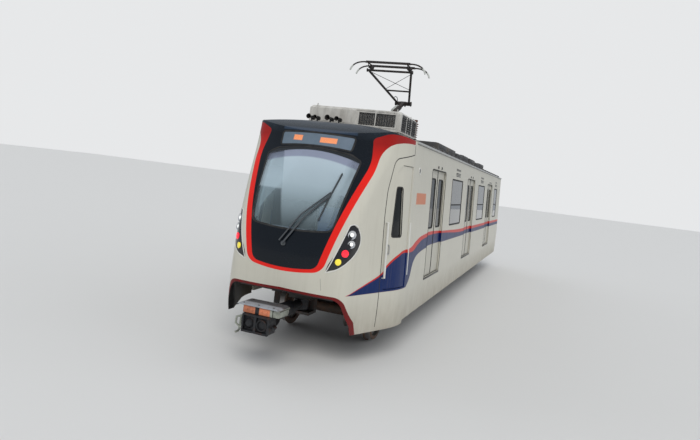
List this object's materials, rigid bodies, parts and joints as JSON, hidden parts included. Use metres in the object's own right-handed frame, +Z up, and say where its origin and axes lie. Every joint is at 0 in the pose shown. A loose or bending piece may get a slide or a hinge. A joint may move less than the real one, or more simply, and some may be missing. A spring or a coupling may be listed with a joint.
{
  "type": "metro car",
  "caption": "Light metro car with a raked cab nose, sliding doors on both sides, two bogies, roof pantograph and couplers.",
  "frame": {"origin": "on the ground under the middle of the car, at the bottom of the wheel flanges", "axes": "+X to the nose, +Y to the car's left side, +Z up"},
  "size_m": [16.6, 2.67, 4.8299],
  "materials": {
    "body_paint": "satin",
    "red_paint": "gloss",
    "navy_paint": "gloss",
    "dark_red_paint": "satin",
    "roof_metal": "matt",
    "underframe": "matt",
    "inner_panel": "matt",
    "blue_plastic": "matt",
    "seat_cloth": "woven",
    "seat_plastic": "moulded",
    "pole_steel": "brushed",
    "dark_case": "matt",
    "white_case": "matt",
    "cast_iron": "rough",
    "bellows_rubber": "ribbed",
    "dark_steel": "weathered",
    "wheel_steel": "worn",
    "bogie_paint": "dirty",
    "door_paint": "satin",
    "glass": "clear",
    "lamp_glass": "gloss"
  },
  "bodies": {
    "car": {"left_side": "body_paint", "right_side": "body_paint", "roof": "roof_metal", "floor": "underframe", "cab_floor": "underframe", "rear_wall": "body_paint", "cab_side": "body_paint", "nose_panel": "body_paint", "nose_band": "red_paint", "nose_mask": "navy_paint", "windscreen": "glass", "route_display": "glass", "headlights": "lamp_glass", "arch_lip": "dark_red_paint", "side_windows": "glass", "cab_bulkhead": "inner_panel", "cab_desk": "blue_plastic", "cab_seat": "seat_cloth", "saloon_seats": "seat_plastic", "grab_poles": "pole_steel", "underfloor_cases": "dark_case", "coupler_bracket": "cast_iron", "rear_bracket": "cast_iron", "gangway_bellows": "bellows_rubber", "ac_case": "white_case", "ac_grille": "dark_case", "roof_cases": "dark_case", "pantograph_base": "dark_steel"},
    "left_door_1a": {"left_door_1a": "door_paint"},
    "left_door_1b": {"left_door_1b": "door_paint"},
    "left_door_2a": {"left_door_2a": "door_paint"},
    "left_door_2b": {"left_door_2b": "door_paint"},
    "left_door_3a": {"left_door_3a": "door_paint"},
    "left_door_3b": {"left_door_3b": "door_paint"},
    "cab_door_left": {"cab_door_left": "body_paint"},
    "right_door_1a": {"right_door_1a": "door_paint"},
    "right_door_1b": {"right_door_1b": "door_paint"},
    "right_door_2a": {"right_door_2a": "door_paint"},
    "right_door_2b": {"right_door_2b": "door_paint"},
    "right_door_3a": {"right_door_3a": "door_paint"},
    "right_door_3b": {"right_door_3b": "door_paint"},
    "cab_door_right": {"cab_door_right": "body_paint"},
    "front_bogie": {"front_bogie_frame": "bogie_paint"},
    "front_wheelset_a": {"front_wheelset_a": "wheel_steel"},
    "front_wheelset_b": {"front_wheelset_b": "wheel_steel"},
    "rear_bogie": {"rear_bogie_frame": "bogie_paint"},
    "rear_wheelset_a": {"rear_wheelset_a": "wheel_steel"},
    "rear_wheelset_b": {"rear_wheelset_b": "wheel_steel"},
    "front_coupler": {"front_coupler": "cast_iron"},
    "rear_coupler": {"rear_coupler": "cast_iron"},
    "pantograph_lower_arm": {"pantograph_lower_arm": "dark_steel"},
    "pantograph_upper_arm": {"pantograph_upper_arm": "dark_steel"},
    "pantograph_head": {"pantograph_head": "dark_steel"}
  },
  "joints": [
    {"name": "left_door_1a_slide", "type": "slide", "parent": "car", "child": "left_door_1a", "axis": [1, 0, 0], "range_m": [0, 0.62]},
    {"name": "left_door_1b_slide", "type": "slide", "parent": "car", "child": "left_door_1b", "axis": [-1, 0, 0], "range_m": [0, 0.62]},
    {"name": "left_door_2a_slide", "type": "slide", "parent": "car", "child": "left_door_2a", "axis": [1, 0, 0], "range_m": [0, 0.62]},
    {"name": "left_door_2b_slide", "type": "slide", "parent": "car", "child": "left_door_2b", "axis": [-1, 0, 0], "range_m": [0, 0.62]},
    {"name": "left_door_3a_slide", "type": "slide", "parent": "car", "child": "left_door_3a", "axis": [1, 0, 0], "range_m": [0, 0.62]},
    {"name": "left_door_3b_slide", "type": "slide", "parent": "car", "child": "left_door_3b", "axis": [-1, 0, 0], "range_m": [0, 0.62]},
    {"name": "cab_door_left_hinge", "type": "hinge", "parent": "car", "child": "cab_door_left", "pos_m": [6.173, 1.263, 1.228], "axis": [0, 0.0499, -0.9988], "range_deg": [0, 80]},
    {"name": "right_door_1a_slide", "type": "slide", "parent": "car", "child": "right_door_1a", "axis": [1, 0, 0], "range_m": [0, 0.62]},
    {"name": "right_door_1b_slide", "type": "slide", "parent": "car", "child": "right_door_1b", "axis": [-1, 0, 0], "range_m": [0, 0.62]},
    {"name": "right_door_2a_slide", "type": "slide", "parent": "car", "child": "right_door_2a", "axis": [1, 0, 0], "range_m": [0, 0.62]},
    {"name": "right_door_2b_slide", "type": "slide", "parent": "car", "child": "right_door_2b", "axis": [-1, 0, 0], "range_m": [0, 0.62]},
    {"name": "right_door_3a_slide", "type": "slide", "parent": "car", "child": "right_door_3a", "axis": [1, 0, 0], "range_m": [0, 0.62]},
    {"name": "right_door_3b_slide", "type": "slide", "parent": "car", "child": "right_door_3b", "axis": [-1, 0, 0], "range_m": [0, 0.62]},
    {"name": "cab_door_right_hinge", "type": "hinge", "parent": "car", "child": "cab_door_right", "pos_m": [6.173, -1.263, 1.228], "axis": [0, 0.0499, 0.9988], "range_deg": [0, 80]},
    {"name": "front_bogie_swivel", "type": "hinge", "parent": "car", "child": "front_bogie", "pos_m": [4.6, 0, 0.7], "axis": [0, 0, 1], "range_deg": [-5, 5]},
    {"name": "front_wheelset_a_spin", "type": "hinge", "parent": "front_bogie", "child": "front_wheelset_a", "pos_m": [5.55, 0, 0.398], "axis": [0, 1, 0], "continuous": true},
    {"name": "front_wheelset_b_spin", "type": "hinge", "parent": "front_bogie", "child": "front_wheelset_b", "pos_m": [3.65, 0, 0.398], "axis": [0, 1, 0], "continuous": true},
    {"name": "rear_bogie_swivel", "type": "hinge", "parent": "car", "child": "rear_bogie", "pos_m": [-4.9, 0, 0.7], "axis": [0, 0, 1], "range_deg": [-5, 5]},
    {"name": "rear_wheelset_a_spin", "type": "hinge", "parent": "rear_bogie", "child": "rear_wheelset_a", "pos_m": [-3.95, 0, 0.398], "axis": [0, 1, 0], "continuous": true},
    {"name": "rear_wheelset_b_spin", "type": "hinge", "parent": "rear_bogie", "child": "rear_wheelset_b", "pos_m": [-5.85, 0, 0.398], "axis": [0, 1, 0], "continuous": true},
    {"name": "front_coupler_swing", "type": "hinge", "parent": "car", "child": "front_coupler", "pos_m": [6.9, 0, 0.7], "axis": [0, 0, 1], "range_deg": [-15, 15]},
    {"name": "rear_coupler_swing", "type": "hinge", "parent": "car", "child": "rear_coupler", "pos_m": [-7.6, 0, 0.7], "axis": [0, 0, 1], "range_deg": [-10, 10]},
    {"name": "pantograph_lower_arm_hinge", "type": "hinge", "parent": "car", "child": "pantograph_lower_arm", "pos_m": [4.15, 0, 3.64], "axis": [0, 1, 0], "range_deg": [-20, 15]},
    {"name": "pantograph_upper_arm_hinge", "type": "hinge", "parent": "pantograph_lower_arm", "child": "pantograph_upper_arm", "pos_m": [2.7, 0, 4.28], "axis": [0, 1, 0], "range_deg": [-25, 33.5]},
    {"name": "pantograph_head_hinge", "type": "hinge", "parent": "pantograph_upper_arm", "child": "pantograph_head", "pos_m": [3.95, 0, 4.69], "axis": [0, 1, 0], "range_deg": [-13.5, 10]}
  ],
  "couplings": [
    {"joint": "left_door_1b_slide", "follows": "left_door_1a_slide", "ratio": 1},
    {"joint": "left_door_2b_slide", "follows": "left_door_2a_slide", "ratio": 1},
    {"joint": "left_door_3b_slide", "follows": "left_door_3a_slide", "ratio": 1},
    {"joint": "right_door_1b_slide", "follows": "right_door_1a_slide", "ratio": 1},
    {"joint": "right_door_2b_slide", "follows": "right_door_2a_slide", "ratio": 1},
    {"joint": "right_door_3b_slide", "follows": "right_door_3a_slide", "ratio": 1},
    {"joint": "pantograph_upper_arm_hinge", "follows": "pantograph_lower_arm_hinge", "ratio": -1.66},
    {"joint": "pantograph_head_hinge", "follows": "pantograph_lower_arm_hinge", "ratio": 0.66}
  ]
}
